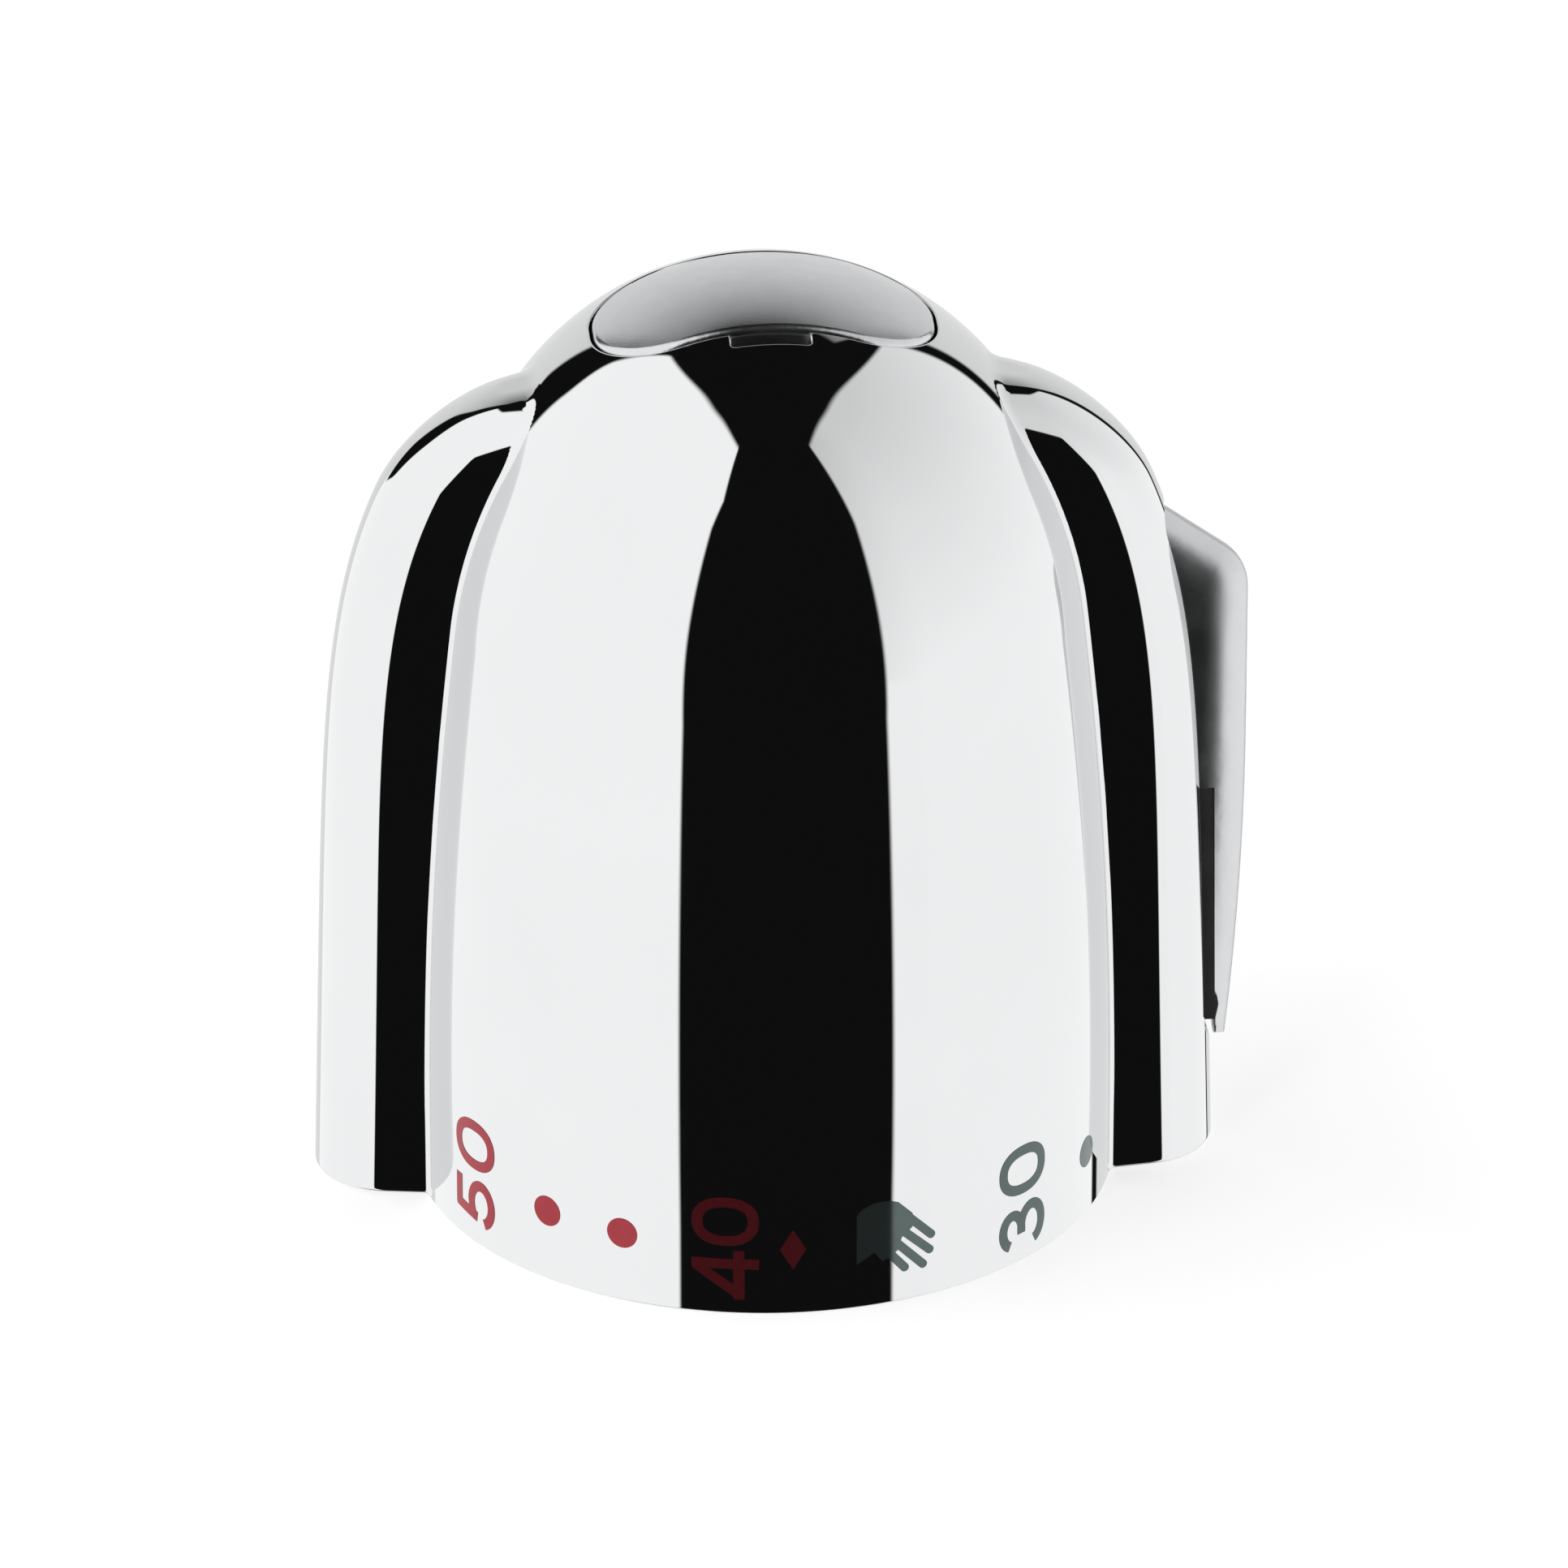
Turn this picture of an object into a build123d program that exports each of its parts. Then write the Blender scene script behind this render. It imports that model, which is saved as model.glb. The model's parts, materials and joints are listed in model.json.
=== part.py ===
from build123d import *
import math
import os

# Temperature-control handle of a thermostatic mixer, in millimetres.
# Origin: centre of the round rim that faces the wall valve. +Z runs along the turning axis towards
# the cap, +X points at the wing that carries the safety-stop button.

# ---- driving dimensions -------------------------------------------------------------------------
RIM_RADIUS = 21.5
HEIGHT = 59.1
WALL = 2.1

# Dome: a short cylinder, a long flat arc, a shoulder arc and a spherical top, all tangent.
CYLINDER_HEIGHT = 6.0
FLANK_RADIUS = 280.0
SHOULDER_RADIUS = 30.0
TOP_RADIUS = 18.27

# Wings: the plan section is a round nose with flanks that widen inwards.
WING_TIP = 27.69
WING_LEAN = 0.0259
WING_BEND = 4.28
WING_BEND_HEIGHT = 48.3
WING_BEND_POWER = 6.28
WING_NOSE = 4.8
WING_NOSE_SHRINK = 0.6
WING_NOSE_HEIGHT = 50.0
WING_TAPER = 8.0
WING_ROOT = 9.0
WING_UNDERSIDE = 0.25
WING_CEILING = 44.0
WING_STATIONS = [-2.0, 8.0, 18.0, 28.0, 36.0, 42.0, 47.0, 51.0, 55.0]
WING_TOP_CENTRE = (6.05, 14.66)
WING_TOP_RADIUS = 38.83
WING_TOP_FILLET = 3.4
CREASE_FILLET = 0.3

# Inside of the shell, and the frame that fills its top
SKIRT_BORE = 19.6
SEAT_BORE = 19.3
SEAT_BOTTOM = 12.5
SHOULDER_HEIGHT = 17.5
CEILING = 51.4
FRAME_GAP = 0.05
FRAME_PLATE = 2.0
SOCKET_RADIUS = 9.6
SOCKET_BOTTOM = 23.1
DRIVER_HOLE = 4.4
BOSS_Y = 14.6
BOSS_RADIUS = 2.9
BOSS_BORE = 1.2
BOSS_BORE_DEPTH = 8.0
BOSS_WEB = 1.8

# Top cap and its recess
CAP_LENGTH = 20.6
CAP_WIDTH = 11.0
CAP_CORNER = 5.0
CAP_GAP = 0.15
CAP_EDGE = 0.6
CAP_SKIN = 1.4
RECESS_FLOOR = 53.6
NOTCH_WIDTH = 4.75
NOTCH_DEPTH = 1.0
NOTCH_LIFT = 1.6
CAP_WALL = 1.2
LEG_X = 7.6
LEG_THICKNESS = 1.2
LEG_WIDTH = 3.0
LEG_BOTTOM = 50.2
LEG_TOP = 56.0
LEG_BARB = 0.5
LEG_BARB_HEIGHT = 0.8
LEG_SLOT = (2.3, 3.5)

# Safety-stop button
BUTTON_HALF_WIDTH = 1.83
BUTTON_TIP = 29.5
BUTTON_BOTTOM = 7.05
BUTTON_TOP = 43.45
BUTTON_SKIRT_X = 22.5
BUTTON_SKIRT_BOTTOM = 24.6
BUTTON_PLATE_BACK = 27.45
BUTTON_PLATE_DRAFT = 0.25
BUTTON_NOSE_DEPTH = 3.0
NOSE_OVERLAP = 0.05
BUTTON_FACE = (28.0, 37.45)
BUTTON_SAG_RADIUS = 209.5
BUTTON_BROW_RADIUS = 3.5
BUTTON_BROW_ANGLE = 54.2
BUTTON_TRAVEL = 1.0
CORE_BACK = 24.0
CORE_HALF_WIDTH = 1.6
CORE_BOTTOM = 8.6
SLOT_GAP = 0.12
SLOT_START = 19.5

# Hub that drives the valve spindle
HUB_RADIUS = 7.6
HUB_BOTTOM = 14.0
HUB_TOP = 44.0
HUB_WEB = (34.0, 37.0)
PILOT_RADIUS = 5.2
PILOT_TOP = 20.0
SPLINE_ROOT = 5.0
SPLINE_TIP = 4.5
SPLINE_TEETH = 20
SPLINE_GROOVE = 0.8
SPLINE_RUNOUT = 2.0
HUB_CUP = 4.6
HUB_KEY_WIDTH = 2.0
HUB_KEY_HEIGHT = 1.0
HUB_KEY_Z = (24.1, 40.0)
CLIP_GROOVE_RADIUS = 6.9
CLIP_Z = (22.0, 23.0)
CLIP_RADIUS = 9.0
CLIP_OPENING = 4.8

# Carrier and its guide block
FLANGE_RADIUS = 19.2
FLANGE_BOTTOM = 15.0
FLANGE_HOLE_RADIUS = 2.6
FLANGE_HOLE_CIRCLE = 13.6
FLANGE_HOLE_ANGLES = (45, 135, 180, 225, 315)
RING_BOTTOM = 12.6
RING_BORE = 18.0
RING_CHAMFER = 0.4
GUIDE_X = (15.0, 19.0)
GUIDE_HALF_WIDTH = 2.2
GUIDE_TOP = 39.6
GUSSET = (1.5, 4.2, 25.6)
PIN_HEIGHTS = {"upper": 37.4, "lower": 27.0}
PIN_RADIUS = 0.6
PIN_X = (13.9, 23.5)
SLIDER_Z = (29.6, 34.6)
SLIDER_HALF_WIDTH = 1.4
SLIDER_X = (12.8, 24.0)
RUNNING = 0.05
PAWL_X = (11.6, 12.8)
PAWL_HALF_WIDTH = 1.3
PAWL_BOTTOM = 13.2
PAWL_CHAMFER = 0.5
PAWL_CLEARANCE = 0.3
RIVET_RADIUS = 0.7
RIVET_HEAD = (1.1, 0.5)
RIVET_DEPTH = 2.6
RIVET_HEIGHT = 32.1
SPRING_WIRE = 0.18
SPRING_RADIUS = 1.05
SPRING_TURNS = 4.5
SPRING_END_GAP = 0.02
PIN_CLIP_RADIUS = 1.6
PIN_CLIP_X = (14.55, 14.95)
PIN_CLIP_OPENING = 0.7
PIN_GROOVE_RADIUS = 0.4

# Fasteners
SCREW_RADIUS = 2.0
SCREW_END = 26.0
SCREW_HEAD_RADIUS = 3.5
SCREW_HEAD_HEIGHT = 2.6
SCREW_HEAD_EDGE = 0.5
SCREW_POINT = 0.4
SCREW_HEX = 3.0
SCREW_HEX_DEPTH = 1.6
SCREW_CLEARANCE = 0.15
SCREW_LIFT = 0.02
WASHER_RADIUS = 4.2
WASHER_BORE = 2.1
WASHER_THICKNESS = 0.8
CAPTIVE_RING_CORD = 0.75
CAPTIVE_RING_DROP = 1.0
SMALL_SCREW_HEAD = 2.5
SMALL_SCREW_HEAD_HEIGHT = 1.7
SMALL_SCREW_EDGE = 0.6
SMALL_SCREW_CLEARANCE = 1.6
SMALL_SCREW_CROSS = (1.4, 0.3, 0.9)
BEYOND = 1.0


# ---- helpers ------------------------------------------------------------------------------------
def cylinder(radius, bottom, top, x=0.0, y=0.0):
    """Upright cylinder between two heights."""
    upwards = (Align.CENTER, Align.CENTER, Align.MIN)
    return Pos(x, y, bottom) * Cylinder(radius, top - bottom, align=upwards)


def block(x_range, y_range, z_range):
    """Box between three pairs of limits."""
    size = [high - low for low, high in (x_range, y_range, z_range)]
    return Pos(x_range[0], y_range[0], z_range[0]) * Box(*size, align=(Align.MIN, Align.MIN, Align.MIN))


def rod(radius, x_range, z):
    """Cylinder along X between two limits."""
    return Pos(x_range[0], 0, z) * Rot(0, 90, 0) * cylinder(radius, 0, x_range[1] - x_range[0])


def tube(outer, inner, bottom, top):
    """Upright tube between two heights."""
    return cylinder(outer, bottom, top) - cylinder(inner, bottom - BEYOND, top + BEYOND)


# ---- shell --------------------------------------------------------------------------------------
def dome(inset=0.0):
    """Solid of revolution of the dome, moved inwards by inset."""
    flank = Vector(RIM_RADIUS - FLANK_RADIUS, CYLINDER_HEIGHT)
    top = Vector(0, HEIGHT - TOP_RADIUS)
    span = top - flank
    to_shoulder = FLANK_RADIUS - SHOULDER_RADIUS
    to_top = SHOULDER_RADIUS - TOP_RADIUS
    squares = to_shoulder ** 2 + span.length ** 2 - to_top ** 2
    corner = math.acos(squares / (2 * to_shoulder * span.length))
    flank_angle = math.atan2(span.Y, span.X) - corner
    shoulder = flank + Vector(math.cos(flank_angle), math.sin(flank_angle)) * to_shoulder
    to_centre = top - shoulder
    shoulder_angle = math.atan2(to_centre.Y, to_centre.X)

    def point(centre, radius, angle):
        return centre + Vector(math.cos(angle), math.sin(angle)) * (radius - inset)

    def arc(centre, radius, start, end):
        middle = point(centre, radius, (start + end) / 2)
        return ThreePointArc(point(centre, radius, start), middle, point(centre, radius, end))

    arcs = [
        arc(flank, FLANK_RADIUS, 0, flank_angle),
        arc(shoulder, SHOULDER_RADIUS, flank_angle, shoulder_angle),
        arc(top, TOP_RADIUS, shoulder_angle, math.pi / 2),
    ]
    radius = RIM_RADIUS - inset
    wall = Line((radius, 0), (radius, CYLINDER_HEIGHT))
    axis = Line((0, HEIGHT - inset), (0, 0))
    base = Line((0, 0), (radius, 0))
    edges = [curve.edge() for curve in (wall, *arcs, axis, base)]
    outline = Face(Wire(edges))
    return revolve(Plane.XZ * outline, Axis.Z)


def wing_section(z, inset=0.0):
    """Plan outline of a wing at height z: a round nose and two flanks that widen inwards."""
    height = max(z, 0)
    tip = WING_TIP - WING_LEAN * height - WING_BEND * (height / WING_BEND_HEIGHT) ** WING_BEND_POWER
    nose = WING_NOSE - WING_NOSE_SHRINK * (height / WING_NOSE_HEIGHT) ** 2 - inset
    taper = math.radians(WING_TAPER)
    centre = tip - inset - nose
    edge_x = centre + nose * math.sin(taper)
    edge_y = nose * math.cos(taper)
    root_y = edge_y + (edge_x - WING_ROOT) * math.tan(taper)
    nose_arc = ThreePointArc((edge_x, -edge_y), (centre + nose, 0), (edge_x, edge_y))
    flanks = Polyline((edge_x, edge_y), (WING_ROOT, root_y), (WING_ROOT, -root_y), (edge_x, -edge_y))
    return Pos(0, 0, z) * make_face(nose_arc + flanks)


def wing():
    """One wing on the +X side: lofted flanks under a gently arched top, with a rounded top edge."""
    body = loft([wing_section(z) for z in WING_STATIONS])
    body &= block((0, WING_TIP), (-RIM_RADIUS, RIM_RADIUS), (WING_UNDERSIDE, HEIGHT))
    arch = Rot(90, 0, 0) * Cylinder(WING_TOP_RADIUS, 2 * RIM_RADIUS)
    body &= Pos(WING_TOP_CENTRE[0], 0, WING_TOP_CENTRE[1]) * arch
    rim = [
        edge for edge in body.edges()
        if edge.center().X > WING_ROOT + BEYOND and edge.center().Z > BUTTON_FACE[1]
    ]
    return fillet(rim, WING_TOP_FILLET)


def wing_hollow():
    """Hollow of one wing, open below."""
    heights = [z for z in WING_STATIONS if z < WING_CEILING] + [WING_CEILING]
    return loft([wing_section(z, WALL) for z in heights])


def cap_prism(margin, bottom):
    """Upright prism on the cap's rounded outline, grown by margin, that ends above the dome."""
    outline = RectangleRounded(CAP_LENGTH + 2 * margin, CAP_WIDTH + 2 * margin, CAP_CORNER + margin)
    return Pos(0, 0, bottom) * extrude(outline, HEIGHT + BEYOND - bottom)


def cap_recess():
    """Pocket for the cap, with the pry notch at its front."""
    pocket = cap_prism(CAP_GAP, RECESS_FLOOR)
    front = CAP_WIDTH / 2 + CAP_GAP + NOTCH_DEPTH
    half = NOTCH_WIDTH / 2
    notch = block((-half, half), (-front, 0), (RECESS_FLOOR + NOTCH_LIFT, HEIGHT + BEYOND))
    return pocket + notch


def leg_slots():
    """Two slots in the recess floor for the cap's snap legs."""
    slot = Box(LEG_SLOT[0], LEG_SLOT[1], 2 * (HEIGHT - RECESS_FLOOR))
    return [Pos(side * LEG_X, 0, RECESS_FLOOR) * slot for side in (-1, 1)]


def button_outline(margin):
    """Upright stadium, seen along X, that bounds the button and its slot."""
    half = BUTTON_HALF_WIDTH + margin
    length = BUTTON_TOP - BUTTON_BOTTOM + 2 * margin
    middle = (BUTTON_TOP + BUTTON_BOTTOM) / 2
    return Plane.YZ * (Pos(0, middle) * Rot(0, 0, 90) * SlotOverall(length, 2 * half))


def button_slot():
    """Slot through the outer end of the button's wing."""
    return Pos(SLOT_START, 0, 0) * extrude(button_outline(SLOT_GAP), BUTTON_TIP - SLOT_START)


def dome_hollow(margin=0.0):
    """Hollow under the dome, made smaller by margin."""
    return dome(WALL + margin) & cylinder(RIM_RADIUS, -BEYOND, CEILING - margin)


def make_shell():
    """Plated shell: dome and two wings, hollow below, with the cap's recess and the button's slot."""
    right = wing()
    outside = dome() + right + mirror(right, Plane.YZ)
    creases = [
        edge for edge in outside.edges()
        if edge.length > RIM_RADIUS and abs(edge.center().Y) > WING_NOSE / 2
        and edge.center().Z > CYLINDER_HEIGHT
    ]
    outside = fillet(creases, CREASE_FILLET)
    right_hollow = wing_hollow()
    shell = outside - (dome_hollow() + right_hollow + mirror(right_hollow, Plane.YZ))
    shell -= cylinder(SKIRT_BORE, -BEYOND, SEAT_BOTTOM)
    shell -= cylinder(SEAT_BORE, -BEYOND, SHOULDER_HEIGHT)
    shell -= cylinder(DRIVER_HOLE, HUB_TOP, RECESS_FLOOR + BEYOND)
    shell -= cap_recess()
    shell -= button_slot()
    for slot in leg_slots():
        shell -= slot
    return shell


# ---- frame --------------------------------------------------------------------------------------
def screw_boss(side):
    """Post for a carrier screw, with a web that meets the shell's wall."""
    post = cylinder(BOSS_RADIUS, SHOULDER_HEIGHT, CEILING, 0, side * BOSS_Y)
    across = sorted((side * BOSS_Y, side * RIM_RADIUS))
    web = block((-BOSS_WEB / 2, BOSS_WEB / 2), across, (SHOULDER_HEIGHT, CEILING))
    return post + web


def make_inner_frame():
    """Moulded frame under the shell's top: the hub's socket, a plate and two screw posts."""
    frame = cylinder(SOCKET_RADIUS, SOCKET_BOTTOM, CEILING)
    frame += cylinder(RIM_RADIUS, CEILING - FRAME_PLATE, CEILING)
    frame += screw_boss(-1) + screw_boss(1)
    frame &= dome_hollow(FRAME_GAP)
    frame -= cylinder(HUB_RADIUS + RUNNING, SOCKET_BOTTOM - BEYOND, HUB_TOP + RUNNING)
    frame -= cylinder(DRIVER_HOLE, HUB_TOP, CEILING)
    frame -= hub_keys(RUNNING)
    for slot in leg_slots():
        frame -= slot
    for side in (-1, 1):
        bore_top = SHOULDER_HEIGHT + BOSS_BORE_DEPTH
        frame -= cylinder(BOSS_BORE, SHOULDER_HEIGHT - BEYOND, bore_top, 0, side * BOSS_Y)
    return frame


# ---- cap ----------------------------------------------------------------------------------------
def make_cap():
    """Satin cap that closes the recess: it follows the dome and has two snap legs."""
    centre = Pos(0, 0, HEIGHT - TOP_RADIUS)
    cap = cap_prism(0, RECESS_FLOOR) & (centre * Sphere(TOP_RADIUS))
    cap = fillet(cap.faces().sort_by(Axis.Z)[-1].edges(), CAP_EDGE)
    cap -= cap_prism(-CAP_WALL, RECESS_FLOOR - BEYOND) & (centre * Sphere(TOP_RADIUS - CAP_SKIN))
    half = LEG_THICKNESS / 2
    across = (-LEG_WIDTH / 2, LEG_WIDTH / 2)
    leg = block((LEG_X - half, LEG_X + half), across, (LEG_BOTTOM, LEG_TOP))
    barb_z = (LEG_BOTTOM, LEG_BOTTOM + LEG_BARB_HEIGHT)
    leg += block((LEG_X, LEG_X + half + LEG_BARB), across, barb_z)
    return cap + leg + Rot(0, 0, 180) * leg


# ---- hub and its fixings ------------------------------------------------------------------------
def hub_keys(margin=0.0):
    """Two keys on opposite sides of the hub that carry the torque."""
    half = HUB_KEY_WIDTH / 2 + margin
    reach = HUB_RADIUS + HUB_KEY_HEIGHT + margin
    return block((-half, half), (-reach, reach), (HUB_KEY_Z[0] - margin, HUB_KEY_Z[1] + margin))


def make_hub():
    """Hub with a plain pilot bore, an internal spline and a cup for the screw head."""
    hub = cylinder(HUB_RADIUS, HUB_BOTTOM, HUB_TOP) + hub_keys()
    hub -= cylinder(PILOT_RADIUS, HUB_BOTTOM - BEYOND, PILOT_TOP)
    hub -= cylinder(SPLINE_TIP, PILOT_TOP - BEYOND, HUB_WEB[0])
    half = SPLINE_GROOVE / 2
    groove = block((0, SPLINE_ROOT), (-half, half), (PILOT_TOP - BEYOND, HUB_WEB[0] - SPLINE_RUNOUT))
    for index in range(SPLINE_TEETH):
        hub -= Rot(0, 0, index * 360 / SPLINE_TEETH) * groove
    hub -= cylinder(HUB_CUP, HUB_WEB[1], HUB_TOP + BEYOND)
    hub -= cylinder(SCREW_RADIUS + SCREW_CLEARANCE, HUB_WEB[0] - BEYOND, HUB_WEB[1] + BEYOND)
    return hub - tube(HUB_RADIUS + BEYOND, CLIP_GROOVE_RADIUS, *CLIP_Z)


def make_hub_clip():
    """Open spring ring that holds the hub in its socket."""
    half = CLIP_OPENING / 2
    opening = block((-half, half), (-CLIP_RADIUS, 0), CLIP_Z)
    return tube(CLIP_RADIUS, CLIP_GROOVE_RADIUS, *CLIP_Z) - opening


def make_retaining_screw():
    """Socket screw that pulls the hub onto the valve spindle."""
    seat = HUB_WEB[1] + WASHER_THICKNESS + SCREW_LIFT
    top = seat + SCREW_HEAD_HEIGHT
    head = cylinder(SCREW_HEAD_RADIUS, seat, top)
    head = fillet(head.edges().group_by(Axis.Z)[-1], SCREW_HEAD_EDGE)
    screw = head + cylinder(SCREW_RADIUS, SCREW_END, seat)
    screw = chamfer(screw.edges().group_by(Axis.Z)[0], SCREW_POINT)
    hexagon = RegularPolygon(SCREW_HEX / 2, 6, major_radius=False)
    return screw - Pos(0, 0, top - SCREW_HEX_DEPTH) * extrude(hexagon, SCREW_HEX_DEPTH)


def make_screw_washer():
    """Washer under the screw head."""
    return tube(WASHER_RADIUS, WASHER_BORE, HUB_WEB[1], HUB_WEB[1] + WASHER_THICKNESS)


def make_captive_ring():
    """Rubber ring on the screw's shank that keeps the screw in the hub."""
    centre = HUB_WEB[0] - CAPTIVE_RING_DROP
    return Pos(0, 0, centre) * Torus(SCREW_RADIUS + CAPTIVE_RING_CORD, CAPTIVE_RING_CORD)


# ---- carrier, glide ring and screws -------------------------------------------------------------
def make_glide_ring():
    """Plain bearing ring that runs on the valve body, under the carrier."""
    ring = tube(FLANGE_RADIUS, RING_BORE, RING_BOTTOM, FLANGE_BOTTOM)
    return chamfer(ring.edges().group_by(Axis.Z)[0].sort_by(SortBy.RADIUS)[0], RING_CHAMFER)


def make_carrier():
    """Inner frame: a pierced flange and the guide block of the button."""
    flange_z = (FLANGE_BOTTOM, SHOULDER_HEIGHT)
    flange = tube(FLANGE_RADIUS, HUB_RADIUS + RUNNING, *flange_z)
    for side in (-1, 1):
        flange -= cylinder(SMALL_SCREW_CLEARANCE, *flange_z, 0, side * BOSS_Y)
    for angle in FLANGE_HOLE_ANGLES:
        flange -= Rot(0, 0, angle) * cylinder(FLANGE_HOLE_RADIUS, *flange_z, FLANGE_HOLE_CIRCLE)
    half = PAWL_HALF_WIDTH + PAWL_CLEARANCE
    slot = (PAWL_X[0] - BUTTON_TRAVEL - PAWL_CLEARANCE, PAWL_X[1] + PAWL_CLEARANCE)
    flange -= block(slot, (-half, half), flange_z)
    guide = block(GUIDE_X, (-GUIDE_HALF_WIDTH, GUIDE_HALF_WIDTH), (SHOULDER_HEIGHT, GUIDE_TOP))
    depth, reach, gusset_top = GUSSET
    guide += block((GUIDE_X[0], GUIDE_X[0] + depth), (-reach, reach), (SHOULDER_HEIGHT, gusset_top))
    channel = SLIDER_HALF_WIDTH + RUNNING
    guide -= block(GUIDE_X, (-channel, channel), (SLIDER_Z[0] - RUNNING, SLIDER_Z[1] + RUNNING))
    for height in PIN_HEIGHTS.values():
        guide -= rod(PIN_RADIUS + RUNNING, GUIDE_X, height)
    return flange + guide


def make_carrier_screws():
    """Two pan-head screws that hold the carrier to the shell's bosses."""
    screws = []
    for side in (-1, 1):
        y = side * BOSS_Y
        head_bottom = FLANGE_BOTTOM - SMALL_SCREW_HEAD_HEIGHT
        head = cylinder(SMALL_SCREW_HEAD, head_bottom, FLANGE_BOTTOM, 0, y)
        head = fillet(head.edges().group_by(Axis.Z)[0], SMALL_SCREW_EDGE)
        shank = cylinder(BOSS_BORE, FLANGE_BOTTOM, SHOULDER_HEIGHT + BOSS_BORE_DEPTH - BEYOND, 0, y)
        long, thin, deep = SMALL_SCREW_CROSS
        cross_z = (head_bottom, head_bottom + deep)
        cross = block((-long, long), (y - thin, y + thin), cross_z)
        cross += block((-thin, thin), (y - long, y + long), cross_z)
        screws.append(head + shank - cross)
    return Compound(children=[screw.solid() for screw in screws])


# ---- safety-stop button -------------------------------------------------------------------------
def button_front(inset=0.0):
    """Front line of the button in the XZ plane, moved inwards by inset, from its foot to its brow."""
    def point(centre, radius, degrees):
        angle = math.radians(degrees)
        return (centre[0] + radius * math.cos(angle), centre[1] + radius * math.sin(angle))

    low, high = BUTTON_FACE
    sag = ((BUTTON_TIP - BUTTON_SAG_RADIUS, low), BUTTON_SAG_RADIUS - inset)
    brow = ((BUTTON_TIP - BUTTON_BROW_RADIUS, high), BUTTON_BROW_RADIUS - inset)
    foot_angle = -math.degrees(math.asin((low - BUTTON_BOTTOM + BEYOND) / BUTTON_SAG_RADIUS))
    end = point(*brow, BUTTON_BROW_ANGLE)
    run = (end[0] - BUTTON_SKIRT_X) / math.sin(math.radians(BUTTON_BROW_ANGLE))
    far = point(end, run, BUTTON_BROW_ANGLE + 90)
    return [
        ThreePointArc(point(*sag, foot_angle), point(*sag, foot_angle / 2), point(*sag, 0)),
        Line(point(*sag, 0), point(*brow, 0)),
        ThreePointArc(point(*brow, 0), point(*brow, BUTTON_BROW_ANGLE / 2), end),
        Line(end, far),
    ]


def button_nose():
    """Half-elliptic nose swept along the button's front line."""
    wire = Plane.XZ * Wire([curve.edge() for curve in button_front()])
    start = Plane(origin=wire @ 0, x_dir=(0, 1, 0), z_dir=wire % 0)
    inwards = -1 if start.y_dir.X > 0 else 1
    centre = Pos(0, inwards * BUTTON_NOSE_DEPTH)
    oval = centre * Ellipse(BUTTON_HALF_WIDTH, BUTTON_NOSE_DEPTH)
    outer_half = centre * Pos(0, -inwards * BUTTON_NOSE_DEPTH / 2)
    half_box = outer_half * Rectangle(2 * BUTTON_HALF_WIDTH, BUTTON_NOSE_DEPTH)
    return sweep(start * (oval & half_box), path=wire)


def make_button_cover():
    """Satin cover: a long bar with a deep skirt above and a thin tapering plate below."""
    inner = button_front(BUTTON_NOSE_DEPTH - NOSE_OVERLAP)
    foot = inner[0] @ 0
    back = Polyline(inner[-1] @ 1, (BUTTON_SKIRT_X, foot.Y), foot)
    core = make_face([curve.edge() for curve in inner] + back.edges())
    stadium = Pos(BUTTON_SKIRT_X, 0, 0) * extrude(button_outline(0), BUTTON_TIP - BUTTON_SKIRT_X)
    filling = extrude(Plane.XZ * core, 2 * BUTTON_HALF_WIDTH, both=True) & stadium
    bar = filling + (button_nose() & stadium)
    behind_plate = make_face(Polyline(
        (SLOT_START, BUTTON_SKIRT_BOTTOM),
        (BUTTON_PLATE_BACK, BUTTON_SKIRT_BOTTOM),
        (BUTTON_PLATE_BACK + BUTTON_PLATE_DRAFT, BUTTON_BOTTOM),
        (SLOT_START, BUTTON_BOTTOM),
        (SLOT_START, BUTTON_SKIRT_BOTTOM),
    ))
    bar -= extrude(Plane.XZ * behind_plate, 2 * BUTTON_HALF_WIDTH, both=True)
    half = SLIDER_HALF_WIDTH
    bar -= block((BUTTON_SKIRT_X, SLIDER_X[1]), (-half, half), SLIDER_Z)
    for height in PIN_HEIGHTS.values():
        bar -= rod(PIN_RADIUS, (BUTTON_SKIRT_X, PIN_X[1]), height)
    return bar


def make_button_core():
    """Black rib behind the cover's plate."""
    share = (BUTTON_SKIRT_BOTTOM - CORE_BOTTOM) / (BUTTON_SKIRT_BOTTOM - BUTTON_BOTTOM)
    outline = Polyline(
        (CORE_BACK, BUTTON_SKIRT_BOTTOM),
        (BUTTON_PLATE_BACK, BUTTON_SKIRT_BOTTOM),
        (BUTTON_PLATE_BACK + BUTTON_PLATE_DRAFT * share, CORE_BOTTOM),
        (CORE_BACK, CORE_BOTTOM),
        (CORE_BACK, BUTTON_SKIRT_BOTTOM),
    )
    return extrude(Plane.XZ * make_face(outline), CORE_HALF_WIDTH, both=True)


def make_button_slider():
    """Slide bar between the cover and the stop pawl."""
    half = SLIDER_HALF_WIDTH
    bar = block(SLIDER_X, (-half, half), SLIDER_Z)
    return bar - rod(RIVET_RADIUS, (SLIDER_X[0], SLIDER_X[0] + RIVET_DEPTH), RIVET_HEIGHT)


def make_stop_pawl():
    """Steel finger that meets the stop ring of the valve below the flange."""
    half = PAWL_HALF_WIDTH
    finger = block(PAWL_X, (-half, half), (PAWL_BOTTOM, SLIDER_Z[1]))
    finger = chamfer(finger.edges().filter_by(Axis.X).group_by(Axis.Z)[0], PAWL_CHAMFER)
    return finger - rod(RIVET_RADIUS, PAWL_X, RIVET_HEIGHT)


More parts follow.
